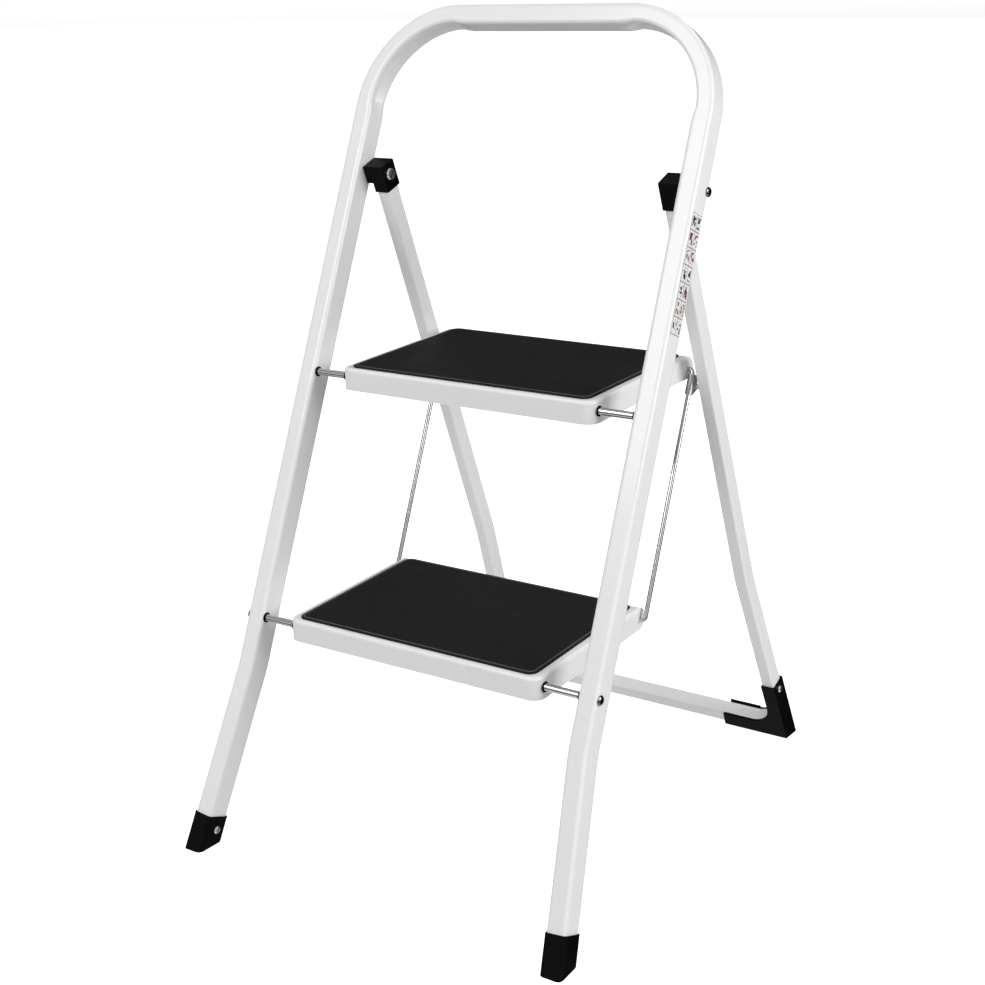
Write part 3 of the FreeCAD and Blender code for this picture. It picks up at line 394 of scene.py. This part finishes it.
def outline(bm, wide, deep, rounding):
    """A rounded rectangle in the XY plane, as edges only, with its straight sides cut into short pieces."""
    bmesh.ops.create_grid(bm, x_segments=1, y_segments=1, size=0.5)
    bmesh.ops.scale(bm, vec=(wide, deep, 1), verts=bm.verts)
    bmesh.ops.bevel(bm, geom=bm.verts[:], offset=rounding, segments=ROUND_STEPS, profile=0.5,
                    affect="VERTICES", material=-1)
    bmesh.ops.delete(bm, geom=bm.faces[:], context="FACES_ONLY")
    long_edges = [edge for edge in bm.edges if edge.calc_length() > 2 * rounding]
    bmesh.ops.subdivide_edges(bm, edges=long_edges, cuts=WALL_CUTS)
    return bm.edges[:]


def straight(bm, ring, step, times=1):
    """Runs the open end of a tube straight on."""
    for _ in range(times):
        made = bmesh.ops.extrude_edge_only(bm, edges=ring)["geom"]
        ends = [v for v in made if isinstance(v, bmesh.types.BMVert)]
        bmesh.ops.translate(bm, vec=step, verts=ends)
        ring = [e for e in made if isinstance(e, bmesh.types.BMEdge) and set(e.verts) <= set(ends)]
    return ring


def bend(bm, ring, centre, angle, steps):
    """Spins the open end of a tube round a centre in the XY plane."""
    corners = list({v for edge in ring for v in edge.verts})
    made = bmesh.ops.spin(bm, geom=ring + corners, cent=centre, axis=(0, 0, 1), angle=angle, steps=steps)
    return [e for e in made["geom_last"] if isinstance(e, bmesh.types.BMEdge)]


print("corner of the rail at", tuple(round(v, 4) for v in CORNER))


# %% Hoop
TROUGH_EDGE, TROUGH_MIDDLE, TROUGH_HALF = 2.2 * MM, 4.6 * MM, 9.5 * MM
TROUGH_START = 13 * MM  # the trough reaches its full depth over this length
NEAR = 8 * MM  # short run beside each end of the bend, which the trough also reaches into
SPLAY = math.atan2(FOOT_AXIS - LEG_AXIS, SPLAY_START)
SPLAY_RUN = SPLAY_BEND * math.tan(SPLAY / 2)
PUSHED_ALL, PUSHED_NONE = 2 * MM, 9 * MM  # depth into the tube, from the inner wall


def half_hoop():
    """From the middle of the rail round the corner, down the leg and out to the foot."""
    bm = bmesh.new()
    ring = outline(bm, TUBE_WIDE, TUBE_DEEP, TUBE_ROUND)
    stand = Matrix.Rotation(math.radians(120), 4, Vector((1, 1, 1)))  # turns X to Y, Y to Z and Z to X
    bmesh.ops.transform(bm, matrix=Matrix.Translation((0, RAIL_AXIS, 0)) @ stand, verts=bm.verts)
    ring = straight(bm, ring, (CORNER.x - 2 * NEAR, 0, 0))
    ring = straight(bm, ring, (NEAR, 0, 0), 2)
    ring = bend(bm, ring, CORNER, math.radians(-90), RAIL_BEND_STEPS)
    ring = straight(bm, ring, (0, -NEAR, 0), 2)
    ring = straight(bm, ring, (0, SPLAY_START + SPLAY_RUN - CORNER.y + 2 * NEAR, 0))
    splay_centre = (LEG_AXIS + SPLAY_BEND, SPLAY_START + SPLAY_RUN, 0)
    ring = bend(bm, ring, splay_centre, SPLAY, SPLAY_BEND_STEPS)
    left = (SPLAY_START - TUBE_END) / math.cos(SPLAY) - SPLAY_RUN
    straight(bm, ring, (left * math.sin(SPLAY), -left * math.cos(SPLAY), 0))
    return bm


def smooth_step(value, start, end):
    share = min(max((value - start) / (end - start), 0.0), 1.0)
    return share * share * (3 - 2 * share)


def push_trough(bm):
    """Moves the inner wall of the corner into the tube."""
    length = RAIL_BEND * math.pi / 2
    near = -2 * NEAR / 3
    full = near + TROUGH_START
    for vert in bm.verts:
        out = vert.co - CORNER
        if out.x < 0:
            along, way, depth = out.x, Vector((0, 1, 0)), out.y
        elif out.y < 0:
            along, way, depth = length - out.y, Vector((1, 0, 0)), out.x
        else:
            flat = Vector((out.x, out.y, 0))
            along, way, depth = RAIL_BEND * math.atan2(out.x, out.y), flat.normalized(), flat.length
        inner = 1 - smooth_step(depth - (RAIL_BEND - TUBE_WIDE / 2), PUSHED_ALL, PUSHED_NONE)
        window = smooth_step(along, near, full) * smooth_step(length - along, near, full)
        middle = math.cos(math.pi / 2 * min(abs(vert.co.z) / TROUGH_HALF, 1)) ** 2
        vert.co += way * inner * window * (TROUGH_EDGE + TROUGH_MIDDLE * middle)


hoop = half_hoop()
push_trough(hoop)
bmesh.ops.mirror(hoop, geom=hoop.verts[:] + hoop.edges[:] + hoop.faces[:], matrix=Matrix.Identity(4),
                 merge_dist=WELD, axis="X")
piece("hoop", hoop, hoop_place(), "white_coat", "stool_front", "front_frame")


# %% [markdown]
# ## Mats
#
# Each mat is a moulded rubber sheet. A thin raised bead runs round it, just inside a plain border, and
# catches a line of light. A rounded outline is raised to the mat's thickness, and insets make the border, the
# two slopes of the bead and the field inside it.

# %% Mats
MAT_HALF, MAT_FRONT, MAT_BACK = 137.0 * MM, -5.5 * MM, 178.2 * MM
TRAY_TOP, MAT_THICK, MAT_CORNER, BEAD = 10.7 * MM, 2.0 * MM, 9.0 * MM, 0.5 * MM
MAT_BORDER, BEAD_TOP = 1.5 * MM, 0.7 * MM


def mat(name):
    bm = bmesh.new()
    bead = bm.verts.layers.float.new("bead")
    bmesh.ops.create_grid(bm, x_segments=1, y_segments=1, size=0.5)
    bmesh.ops.scale(bm, vec=(2 * MAT_HALF, MAT_BACK - MAT_FRONT, 1), verts=bm.verts)
    bmesh.ops.bevel(bm, geom=bm.verts[:], offset=MAT_CORNER, segments=8, profile=0.5, affect="VERTICES",
                    material=-1)
    bmesh.ops.translate(bm, vec=(0, (MAT_BACK + MAT_FRONT) / 2, TRAY_TOP), verts=bm.verts)
    top = bmesh.ops.extrude_face_region(bm, geom=bm.faces[:])["geom"]
    bmesh.ops.translate(bm, vec=(0, 0, MAT_THICK - 2 * BEAD),
                        verts=[v for v in top if isinstance(v, bmesh.types.BMVert)])
    field = [f for f in top if isinstance(f, bmesh.types.BMFace)]
    # the mat's sloping edge, the border, the bead's outer slope, its flat top, its inner slope
    rings = ((BEAD, BEAD), (MAT_BORDER, 0.0), (BEAD, BEAD), (BEAD_TOP, 0.0), (BEAD, -BEAD))
    for wide, deep in rings:
        bmesh.ops.inset_region(bm, faces=field, thickness=wide, depth=deep, use_even_offset=True)
    # marks the bead's top, where the rubber gets the painted highlight
    for vert in bm.verts:
        vert[bead] = 1.0 if vert.co.z > TRAY_TOP + MAT_THICK - 0.1 * BEAD else 0.0
    made = piece(f"{name}_mat", bm, STEPS[name], "black_rubber", f"{name}_step", f"{name}_step_mat")
    made.data.shade_flat()


for step in STEPS:
    mat(step)


# %% [markdown]
# ## Dark rings at the axles: painted shadow
#
# A thin dark ring lies round each axle against the tray's side, and another against the leg's inner wall.
# They are painted shadow: dark things put where the holes round the axles are in shade. Each is a small
# rectangle spun once round the axle.

# %% Dark rings at the axles, as painted shadow
SHADOW_RING_HOLE, SHADOW_RING_ROUND, SHADOW_RING_THICK = 3.7 * MM, 5.1 * MM, 0.5 * MM  # two radii and a thickness
TRAY_SIDE, LEG_INNER = 145.5 * MM, 183.0 * MM


def shadow_rings(name, start, body):
    """A pair of rings on one axle, mirrored, from start outwards."""
    bm = bmesh.new()
    bmesh.ops.create_grid(bm, x_segments=1, y_segments=1, size=0.5)
    bmesh.ops.scale(bm, vec=(SHADOW_RING_THICK, SHADOW_RING_ROUND - SHADOW_RING_HOLE, 1), verts=bm.verts)
    bmesh.ops.translate(bm, vec=(start + SHADOW_RING_THICK / 2, (SHADOW_RING_ROUND + SHADOW_RING_HOLE) / 2, 0),
                        verts=bm.verts)
    bmesh.ops.delete(bm, geom=bm.faces[:], context="FACES_ONLY")
    bmesh.ops.spin(bm, geom=bm.verts[:] + bm.edges[:], cent=(0, 0, 0), axis=(1, 0, 0), angle=math.tau,
                   steps=32, use_merge=True)
    bmesh.ops.mirror(bm, geom=bm.verts[:] + bm.edges[:] + bm.faces[:], matrix=Matrix.Identity(4),
                     merge_dist=0.0, axis="X")
    # painted shadow: black rings stand in for the shade in the gap round each axle
    made = piece(name, bm, STEPS[name.split("_")[0]], "black_plastic", body)
    made.data.shade_flat()


# painted shadow rings against the trays' sides and the legs' inner walls
for step in STEPS:
    shadow_rings(f"{step}_tray_washers", TRAY_SIDE, f"{step}_step")
    shadow_rings(f"{step}_leg_washers", LEG_INNER - SHADOW_RING_THICK, "stool_front")


# %% [markdown]
# ## Floor, light and camera
#
# The stool stands on a pale floor that runs out to a pale horizon. White metal only shows its shape when
# some sides of it are darker than others, so the light is not the same all round. A broad soft lamp at the
# front and above on the left makes the front faces bright, and a second one fills in from the right. The sky
# is dimmer than the horizon, and the floor is left out of the bounced light, so that the undersides stay
# grey. A black flag that only reflections see stands behind the stool and draws dark edges on bright metal.

# %% Floor and sky
class Sky(Finish):
    """The world's own small tree: brightness by direction."""

    def __init__(self, name):
        self.world = bpy.data.worlds.new(name)
        self.world.use_nodes = True
        self.tree = self.world.node_tree
        self.shader = self.tree.nodes["Background"]
        self.place = Sock(self.tree, self.tree.nodes.new("ShaderNodeTexCoord").outputs["Generated"])
        parts = self.place.node("ShaderNodeSeparateXYZ", Vector=self.place)
        self.z = Sock(self.tree, parts.outputs["Z"])


# (height from -1 straight down to 1 straight up, moved to 0-1; brightness)
SKY_STOPS = ((0.0, 0.95), (0.24, 0.85), (0.29, 0.04), (0.455, 0.04), (0.49, 1.0), (0.54, 1.0),
             (0.66, 0.48), (1.0, 0.5))
FLOOR_SIZE = 60.0


def studio():
    bpy.ops.mesh.primitive_plane_add(size=FLOOR_SIZE, location=(0, 0, 0))
    floor = bpy.context.object
    floor.name = "floor"
    floor.visible_diffuse = floor.visible_glossy = False
    paint = Finish("floor_paint", Roughness=0.9, Emission_Strength=0.8)
    cloud = paint.noise(2.0)
    paint.set(Base_Color=paint.mix(cloud, (0.90, 0.90, 0.90, 1), (0.92, 0.92, 0.92, 1)))
    paint.shader.inputs["Emission Color"].default_value = (1, 1, 1, 1)
    floor.data.materials.append(paint.material)
    sky = Sky("studio_sky")
    height = sky.ramp(sky.z * 0.5 + 0.5, *SKY_STOPS)
    sky.set(Color=height, Strength=1.0)
    bpy.context.scene.world = sky.world


print("sky stops:", len(SKY_STOPS))


# %% Lamps, flag and camera
CAMERA_TURN, CAMERA_DROP, CAMERA_ROLL = math.radians(33.93), math.radians(14.87), math.radians(-1.17)
CAMERA_AT = (0.8813, -1.3487, 0.8320)
FLAG_REACH = 3.0
LIT = Vector((0, 0, 0.4))  # the middle of the stool, which both lamps face


def soft_light(name, place, size, power):
    lamp = bpy.data.lights.new(name, "AREA")
    lamp.shape, lamp.size, lamp.energy = "SQUARE", size, power
    holder = bpy.data.objects.new(name, lamp)
    holder.location = place
    holder.rotation_euler = (LIT - Vector(place)).to_track_quat("-Z", "Y").to_euler()
    bpy.context.scene.collection.objects.link(holder)


def black_flag():
    """A dark half ring behind the stool, seen only in reflections: it draws dark edges on bright rods."""
    bm = bmesh.new()
    bmesh.ops.create_cone(bm, cap_ends=False, segments=32, radius1=FLAG_REACH, radius2=FLAG_REACH,
                          depth=2 * FLAG_REACH)
    away = Vector((-math.sin(CAMERA_TURN), math.cos(CAMERA_TURN), 0))
    bmesh.ops.bisect_plane(bm, geom=bm.verts[:] + bm.edges[:] + bm.faces[:], plane_co=(0, 0, 0),
                           plane_no=away, clear_inner=True)
    mesh = bpy.data.meshes.new("black_flag")
    bm.to_mesh(mesh)
    bm.free()
    cloth = Finish("flag_cloth", Roughness=1.0, Specular_IOR_Level=0.0)
    cloth.set(Base_Color=cloth.mix(cloth.noise(2.0), (0.01, 0.01, 0.01, 1), (0.02, 0.02, 0.02, 1)))
    mesh.materials.append(cloth.material)
    flag = bpy.data.objects.new("black_flag", mesh)
    bpy.context.scene.collection.objects.link(flag)
    flag.visible_camera = flag.visible_diffuse = flag.visible_shadow = False
    flag.visible_transmission = flag.visible_volume_scatter = False


def camera():
    """Stands in front and to the right of the stool, a little above the rail, and looks down at it."""
    lens = bpy.data.cameras.new("camera")
    lens.sensor_width, lens.lens = 36.0, 60.78
    lens.shift_x, lens.shift_y = -0.001, -0.0713
    lens.clip_end = 100.0
    holder = bpy.data.objects.new("camera", lens)
    level = math.radians(90)
    turn = (Matrix.Rotation(CAMERA_TURN, 4, "Z") @ Matrix.Rotation(level - CAMERA_DROP, 4, "X")
            @ Matrix.Rotation(CAMERA_ROLL, 4, "Z"))
    holder.matrix_world = Matrix.Translation(CAMERA_AT) @ turn
    bpy.context.scene.collection.objects.link(holder)
    bpy.context.scene.camera = holder


bpy.context.scene.view_settings.view_transform = "Standard"
studio()
black_flag()
soft_light("key", (-0.9, -2.6, 2.4), size=1.6, power=48)
soft_light("fill", (2.6, 0.2, 1.3), size=1.4, power=44)
camera()
print("studio ready")
